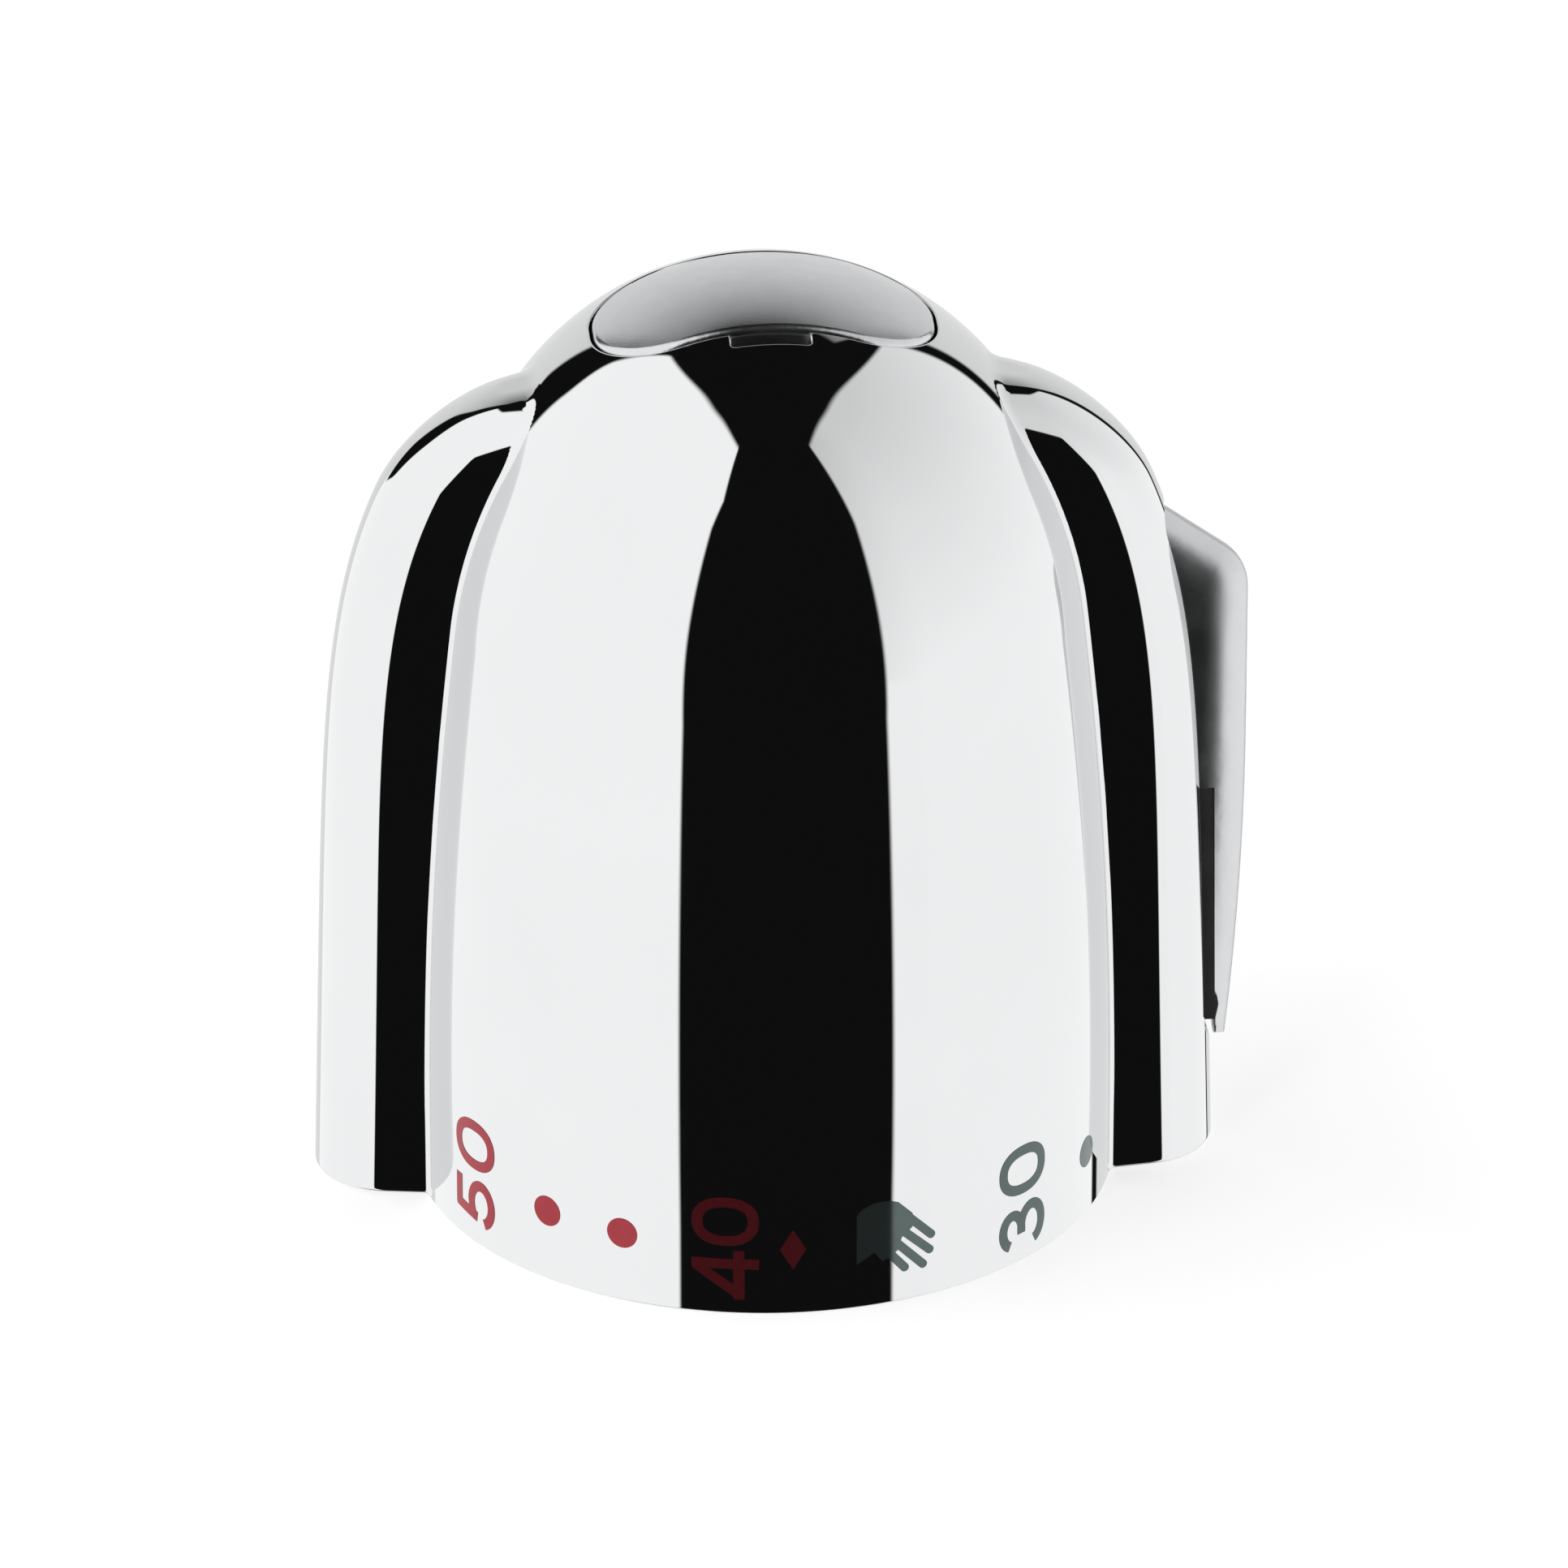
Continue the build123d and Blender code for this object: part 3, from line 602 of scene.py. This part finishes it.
def print_number(text, azimuth, height, slot):
    """A two-digit temperature."""
    length = DIGIT_ADVANCE + DIGIT_WIDTH
    pieces = []
    for index, digit in enumerate(text):
        pieces += upright(digit_strokes(digit), length, index * DIGIT_ADVANCE)
    print_mark("print_" + text, pieces, azimuth, height, slot)


def print_scale():
    """Numbers, dots, diamond and hand round the front of the dome."""
    for text, (azimuth, height, slot) in NUMBERS.items():
        print_number(text, azimuth, height, slot)
    dot = patch(ellipse((0, 0), (DOT_RADIUS, DOT_RADIUS), 0, 352.5, count=48))
    for name, (azimuth, height, slot) in DOTS.items():
        print_mark("print_dot_" + name, [dot], azimuth, height, slot)
    half_width, half_height = DIAMOND
    diamond = patch([(half_width, 0), (0, half_height), (-half_width, 0), (0, -half_height)])
    print_mark("print_diamond", [diamond], *DIAMOND_AT, "print_red")
    hand = [patch(PALM)]
    for root, tip in FINGERS:
        turn = math.degrees(math.atan2(tip[1] - root[1], tip[0] - root[0]))
        far = ellipse(tip, (FINGER_RADIUS, FINGER_RADIUS), turn - 90, turn + 90, count=13)
        near = ellipse(root, (FINGER_RADIUS, FINGER_RADIUS), turn + 90, turn + 270, count=13)
        hand.append(patch(far + near))
    print_mark("print_hand", hand, *HAND_AT, "print_grey")


# ---- materials ------------------------------------------------------------------------------------
def node_of(tree, kind, **values):
    """New node with its inputs or properties set."""
    node = tree.nodes.new(kind)
    for key, value in values.items():
        if key in node.inputs:
            node.inputs[key].default_value = value
        else:
            setattr(node, key, value)
    return node


def start_material(name, metallic, roughness):
    """Principled material with object coordinates ready for noise."""
    material = bpy.data.materials.new(name)
    material.use_nodes = True
    tree = material.node_tree
    shader = tree.nodes["Principled BSDF"]
    shader.inputs["Metallic"].default_value = metallic
    shader.inputs["Roughness"].default_value = roughness
    place = tree.nodes.new("ShaderNodeTexCoord")
    return material, tree, shader, place


def noise(tree, place, scale, detail=3.0, stretch=(1, 1, 1)):
    """Noise over object coordinates, stretched along an axis where asked."""
    mapping = node_of(tree, "ShaderNodeMapping", Scale=stretch)
    tree.links.new(place.outputs["Object"], mapping.inputs["Vector"])
    texture = node_of(tree, "ShaderNodeTexNoise", Scale=scale, Detail=detail, Roughness=0.55)
    tree.links.new(mapping.outputs["Vector"], texture.inputs["Vector"])
    return texture.outputs["Fac"]


def vary_colour(tree, shader, factor, dark, light):
    """Base colour between two tones."""
    mix = node_of(tree, "ShaderNodeMix", data_type="RGBA")
    colours = [socket for socket in mix.inputs if socket.type == "RGBA"]
    colours[0].default_value = (*dark, 1)
    colours[1].default_value = (*light, 1)
    tree.links.new(factor, mix.inputs["Factor"])
    result = [socket for socket in mix.outputs if socket.type == "RGBA"][0]
    tree.links.new(result, shader.inputs["Base Color"])


def vary_roughness(tree, shader, factor, low, high):
    """Roughness between two values."""
    spread = node_of(tree, "ShaderNodeMapRange")
    spread.inputs["From Min"].default_value = 0.3
    spread.inputs["From Max"].default_value = 0.7
    spread.inputs["To Min"].default_value = low
    spread.inputs["To Max"].default_value = high
    tree.links.new(factor, spread.inputs["Value"])
    tree.links.new(spread.outputs["Result"], shader.inputs["Roughness"])


def add_bump(tree, shader, factor, strength, distance):
    """Fine relief."""
    bump = node_of(tree, "ShaderNodeBump", Strength=strength, Distance=distance)
    tree.links.new(factor, bump.inputs["Height"])
    tree.links.new(bump.outputs["Normal"], shader.inputs["Normal"])


def chrome(name):
    """Bright plate: nearly a mirror, with faint haze and a faint change of tone."""
    material, tree, shader, place = start_material(name, 1.0, 0.02)
    vary_colour(tree, shader, noise(tree, place, 60), (0.695, 0.705, 0.71), (0.725, 0.73, 0.735))
    vary_roughness(tree, shader, noise(tree, place, 140, 5), 0.006, 0.03)
    return material


def satin(name, dark, light, low, high):
    """Satin plate: fine blasted grain over a soft metal sheen."""
    material, tree, shader, place = start_material(name, 1.0, 0.3)
    vary_colour(tree, shader, noise(tree, place, 900, 4), dark, light)
    vary_roughness(tree, shader, noise(tree, place, 220, 4), low, high)
    add_bump(tree, shader, noise(tree, place, 9000, 2), 0.12, 0.00003)
    return material


def plastic(name, dark, light, low, high):
    """Moulded acetal: slightly cloudy colour and a fine spark-eroded texture."""
    material, tree, shader, place = start_material(name, 0.0, 0.45)
    vary_colour(tree, shader, noise(tree, place, 260, 4), dark, light)
    vary_roughness(tree, shader, noise(tree, place, 500, 3), low, high)
    add_bump(tree, shader, noise(tree, place, 5200, 2), 0.25, 0.00004)
    return material


def steel(name, stretch, dark, light):
    """Worked steel with marks that run one way."""
    material, tree, shader, place = start_material(name, 1.0, 0.25)
    marks = noise(tree, place, 2600, 3, stretch)
    vary_colour(tree, shader, marks, dark, light)
    vary_roughness(tree, shader, marks, 0.18, 0.36)
    add_bump(tree, shader, marks, 0.2, 0.00002)
    return material


def printed(name, dark, light, roughness):
    """Thin glossy print that lets some of the plate's reflection through."""
    material, tree, shader, place = start_material(name, 0.82, roughness)
    vary_colour(tree, shader, noise(tree, place, 1500, 3), dark, light)
    return material


MATERIALS = {
    "shell_chrome": chrome("plated_bright"),
    "cap_satin": satin("plated_satin_cap", (0.60, 0.61, 0.62), (0.66, 0.67, 0.68), 0.17, 0.25),
    "button_satin": satin("plated_satin_button", (0.58, 0.59, 0.60), (0.64, 0.65, 0.66), 0.28, 0.36),
    "frame_plastic": plastic("acetal_dark_grey", (0.08, 0.08, 0.085), (0.13, 0.13, 0.135), 0.38, 0.5),
    "hub_plastic": plastic("acetal_black_hub", (0.02, 0.02, 0.022), (0.04, 0.04, 0.043), 0.35, 0.5),
    "carrier_plastic": plastic("acetal_grey", (0.19, 0.20, 0.21), (0.25, 0.26, 0.27), 0.38, 0.52),
    "glide_plastic": plastic("acetal_natural", (0.66, 0.65, 0.61), (0.75, 0.74, 0.70), 0.32, 0.46),
    "slider_plastic": plastic("acetal_black_slider", (0.02, 0.02, 0.022), (0.04, 0.04, 0.043), 0.3, 0.45),
    "spring_steel": steel("steel_spring", (1, 1, 1), (0.46, 0.46, 0.47), (0.60, 0.60, 0.61)),
    "screw_steel": steel("steel_turned", (1, 1, 0.2), (0.50, 0.50, 0.51), (0.64, 0.64, 0.65)),
    "pin_steel": steel("steel_ground", (0.15, 1, 1), (0.52, 0.52, 0.53), (0.66, 0.66, 0.67)),
    "pawl_steel": steel("steel_stamped", (1, 1, 0.15), (0.42, 0.42, 0.43), (0.56, 0.56, 0.57)),
    "ring_rubber": plastic("rubber_black", (0.012, 0.012, 0.012), (0.025, 0.025, 0.025), 0.6, 0.75),
    "print_red": printed("print_red_gloss", (0.31, 0.036, 0.047), (0.355, 0.045, 0.056), 0.06),
    "print_grey": printed("print_grey_gloss", (0.085, 0.115, 0.11), (0.105, 0.135, 0.13), 0.06),
}
SLOT_OF = {entry["node"]: entry["material_slot"] for entry in frame["record"]["subparts"]}


def dress(obj, slot):
    """Gives an object the one material of a record slot."""
    obj.data.materials.clear()
    obj.data.materials.append(MATERIALS[slot])


for node_name, node_object in frame["nodes"].items():
    dress(node_object, SLOT_OF[node_name])

# ---- camera, floor and light ----------------------------------------------------------------------
CAMERA_SIDE = 1.25
CAMERA_BACK = 855.66
CAMERA_HEIGHT = 456.88
CAMERA_TILT = 63.22
SENSOR = 36.0
LENS = 361.13
SIGHT = 20.0
FLOOR_REACH = 3000
FLOOR_COLOUR = (0.9, 0.9, 0.9, 1)
FLOOR_GLOW = 0.55
WHITE = (1.0, 1.0, 1.0, 1)

camera_data = bpy.data.cameras.new("camera")
camera_data.sensor_width = SENSOR
camera_data.lens = LENS
camera_data.clip_end = SIGHT
camera = bpy.data.objects.new("camera", camera_data)
bpy.context.scene.collection.objects.link(camera)
camera_turn = math.radians(TURN)
camera.location = (
    (CAMERA_SIDE * math.cos(camera_turn) - CAMERA_BACK * math.sin(camera_turn)) * MM,
    (-CAMERA_SIDE * math.sin(camera_turn) - CAMERA_BACK * math.cos(camera_turn)) * MM,
    CAMERA_HEIGHT * MM,
)
camera.rotation_euler = (math.radians(CAMERA_TILT), 0, -camera_turn)
bpy.context.scene.camera = camera

corner_signs = ((-1, -1), (1, -1), (1, 1), (-1, 1))
floor_corners = [(FLOOR_REACH * across, FLOOR_REACH * along, 0) for across, along in corner_signs]
floor = make_object("floor", floor_corners, [(0, 1, 2, 3)])
floor_material = bpy.data.materials.new("floor_pale")
floor_material.use_nodes = True
floor_shader = floor_material.node_tree.nodes["Principled BSDF"]
floor_shader.inputs["Base Color"].default_value = FLOOR_COLOUR
floor_shader.inputs["Roughness"].default_value = 1.0
floor_shader.inputs["Specular IOR Level"].default_value = 0.0
floor_shader.inputs["Emission Color"].default_value = WHITE
floor_shader.inputs["Emission Strength"].default_value = FLOOR_GLOW
floor.data.materials.append(floor_material)
floor.visible_glossy = False

# Studio, by direction from the object in degrees. An azimuth is 0 towards the camera and positive to its
# right. A level is the light of a direction, where 1 is the plain backdrop. SOFT values are half the
# width of an edge. A row of four gives start, end and the values at both.
BOW_START = -5.0
OPEN_LEFT = -27.5
OPEN_LEFT_BOW = 0.0030
OPEN_LEFT_MOST = 7.0
OPEN_LEFT_SOFT = 0.7
OPEN_RIGHT = 43.0
OPEN_RIGHT_BOW = -0.0012
OPEN_RIGHT_SOFT = 0.9
# Levels of the walls. The right wall fades upwards, is darker towards the opening and bright at its foot.
LEFT_WALL = 1.20
RIGHT_WALL = (-8.0, 62.0, 1.18, 0.80)
RIGHT_WALL_FRONT = (30.0, 62.0, 0.88, 1.0)
RIGHT_WALL_FOOT = (-8.0, 8.0, 1.16, 0.0)
BACK_WALL = 0.85
BACK_WALL_FALL = (5.0, 64.0)
BACK_START = 140.0
# Dark gaps between the side walls and the back wall: azimuths and half widths. The left one is narrow at
# its foot and head.
GAP_LEFT = 137.0
GAP_RIGHT = 142.0
GAP_LEFT_FOOT = (-4.0, 8.0, -2.0, 8.0)
GAP_LEFT_HEAD = (20.0, 36.0, 8.0, 4.0)
GAP_RIGHT_HALF = 2.5
# Dark ceiling over each side wall: its highest start, the azimuth of that, and how wide it spreads before
# it comes down; and where it starts over the back wall.
PEAK_LEFT = (72.2, 68.0, 21.7)
PEAK_RIGHT = (68.0, 74.0, 19.0)
PEAK_POWER = 2.65
BACK_TOP = 56.0
CEILING_SOFT = 1.2
# The light from steeply below is weaker, and no direction is quite black.
UNDERSIDE = (-74.0, -62.0, 0.3, 1.0)
BLACK_LEVEL = 0.006
SOFT = 1.0


def world_light():
    """Studio all round: pale side walls, a dark opening behind the camera, dark gaps and ceiling."""
    world = bpy.data.worlds.new("studio")
    bpy.context.scene.world = world
    world.use_nodes = True
    tree = world.node_tree
    tree.nodes.clear()

    def socket(value, target):
        if isinstance(value, (int, float)):
            target.default_value = value
        else:
            tree.links.new(value, target)

    def calc(operation, a, b=0.0):
        node = node_of(tree, "ShaderNodeMath", operation=operation)
        socket(a, node.inputs[0])
        socket(b, node.inputs[1])
        return node.outputs[0]

    def ramp(value, start, end, low=0.0, high=1.0, kind="SMOOTHSTEP"):
        node = node_of(tree, "ShaderNodeMapRange", interpolation_type=kind)
        socket(value, node.inputs["Value"])
        socket(start, node.inputs["From Min"])
        socket(end, node.inputs["From Max"])
        socket(low, node.inputs["To Min"])
        socket(high, node.inputs["To Max"])
        return node.outputs["Result"]

    def edge(value, at, soft):
        return ramp(calc("SUBTRACT", value, at), -soft, soft)

    place = tree.nodes.new("ShaderNodeTexCoord")
    turned = node_of(tree, "ShaderNodeVectorRotate", rotation_type="Z_AXIS", Angle=math.radians(TURN))
    tree.links.new(place.outputs["Generated"], turned.inputs["Vector"])
    parts = tree.nodes.new("ShaderNodeSeparateXYZ")
    tree.links.new(turned.outputs["Vector"], parts.inputs["Vector"])
    azimuth = calc("DEGREES", calc("ARCTAN2", parts.outputs["X"], calc("MULTIPLY", parts.outputs["Y"], -1.0)))
    elevation = calc("DEGREES", calc("ARCSINE", parts.outputs["Z"]))
    away = calc("ABSOLUTE", azimuth)

    def by_side(left, right):
        return calc("ADD", left, calc("MULTIPLY", right_side, calc("SUBTRACT", right, left)))

    right_side = edge(azimuth, 0.0, SOFT)
    behind = edge(away, BACK_START, SOFT)

    lift = calc("MAXIMUM", calc("SUBTRACT", elevation, BOW_START), 0.0)
    lift = calc("MULTIPLY", lift, lift)
    left_bow = calc("MINIMUM", calc("MULTIPLY", lift, OPEN_LEFT_BOW), OPEN_LEFT_MOST)
    left_edge = edge(azimuth, calc("ADD", left_bow, OPEN_LEFT), OPEN_LEFT_SOFT)
    right_bow = calc("MULTIPLY", lift, OPEN_RIGHT_BOW)
    right_edge = edge(azimuth, calc("ADD", right_bow, OPEN_RIGHT), OPEN_RIGHT_SOFT)
    open_front = calc("SUBTRACT", left_edge, right_edge)

    right_wall = ramp(elevation, *RIGHT_WALL, "LINEAR")
    right_wall = calc("MULTIPLY", right_wall, ramp(azimuth, *RIGHT_WALL_FRONT))
    right_wall = calc("MAXIMUM", right_wall, ramp(elevation, *RIGHT_WALL_FOOT))
    fall = ramp(elevation, *BACK_WALL_FALL, kind="LINEAR")
    back_wall = calc("MULTIPLY", calc("SUBTRACT", 1.0, calc("MULTIPLY", fall, fall)), BACK_WALL)
    walls = by_side(LEFT_WALL, right_wall)
    room = calc("ADD", calc("MULTIPLY", behind, back_wall),
                calc("MULTIPLY", calc("SUBTRACT", 1.0, behind), walls))

    left_half = calc("MINIMUM", ramp(elevation, *GAP_LEFT_FOOT), ramp(elevation, *GAP_LEFT_HEAD))
    from_gap = calc("ABSOLUTE", calc("SUBTRACT", away, by_side(GAP_LEFT, GAP_RIGHT)))
    not_gap = edge(from_gap, by_side(left_half, GAP_RIGHT_HALF), SOFT)

    peak, peak_azimuth, spread = [by_side(left, right) for left, right in zip(PEAK_LEFT, PEAK_RIGHT)]
    off_peak = calc("ABSOLUTE", calc("SUBTRACT", away, peak_azimuth))
    side_top = calc("SUBTRACT", peak, calc("POWER", calc("DIVIDE", off_peak, spread), PEAK_POWER))
    ceiling_at = calc("MAXIMUM", side_top, calc("MULTIPLY", behind, BACK_TOP))
    below_ceiling = calc("SUBTRACT", 1.0, edge(elevation, ceiling_at, CEILING_SOFT))

    light = calc("MULTIPLY", room, calc("SUBTRACT", 1.0, open_front))
    light = calc("MULTIPLY", light, not_gap)
    light = calc("MULTIPLY", light, below_ceiling)
    light = calc("MULTIPLY", light, ramp(elevation, *UNDERSIDE))
    light = calc("ADD", light, BLACK_LEVEL)

    camera_ray = tree.nodes.new("ShaderNodeLightPath").outputs["Is Camera Ray"]
    strength = calc("ADD", calc("MULTIPLY", light, calc("SUBTRACT", 1.0, camera_ray)), camera_ray)
    background = node_of(tree, "ShaderNodeBackground", Color=WHITE)
    tree.links.new(strength, background.inputs["Strength"])
    output = tree.nodes.new("ShaderNodeOutputWorld")
    tree.links.new(background.outputs["Background"], output.inputs["Surface"])


world_light()
bpy.context.scene.view_settings.view_transform = "Standard"

# ---- pieces ---------------------------------------------------------------------------------------
shell = build_shell()
dress(shell, "shell_chrome")
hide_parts("shell")
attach(shell, "handle")

print_scale()

crown = np.array([0.0, 0.0, HEIGHT - TOP])


def on_crown(points):
    """Distances and normals of the sphere that the cap follows."""
    arms = points - crown
    lengths = np.linalg.norm(arms, axis=1)
    return lengths - TOP, arms / lengths[:, None]


def on_flanks(points):
    """Distances and normals of the flat sides of the button."""
    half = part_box("button_cover")[1].y / MM
    sides = np.where(points[:, 1] > 0, 1.0, -1.0)
    zeros = np.zeros(len(points))
    return np.abs(points[:, 1]) - half, np.column_stack([zeros, sides, zeros])


for node, body, surface in (("top_cap", "cap", on_crown), ("button_cover", "button", on_flanks)):
    piece = copy_node(node, node + "_satin", STEP_WELD)
    shade(piece, 30.0, surface)
    dress(piece, SLOT_OF[node])
    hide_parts(node)
    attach(piece, body)

for height in ("upper", "lower"):
    node = "button_spring_" + height
    spring = copy_node(node, "spring_coil_" + height)
    shade(spring, 60.0)
    dress(spring, "spring_steel")
    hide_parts(node)
    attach(spring, "handle")
    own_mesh(spring)
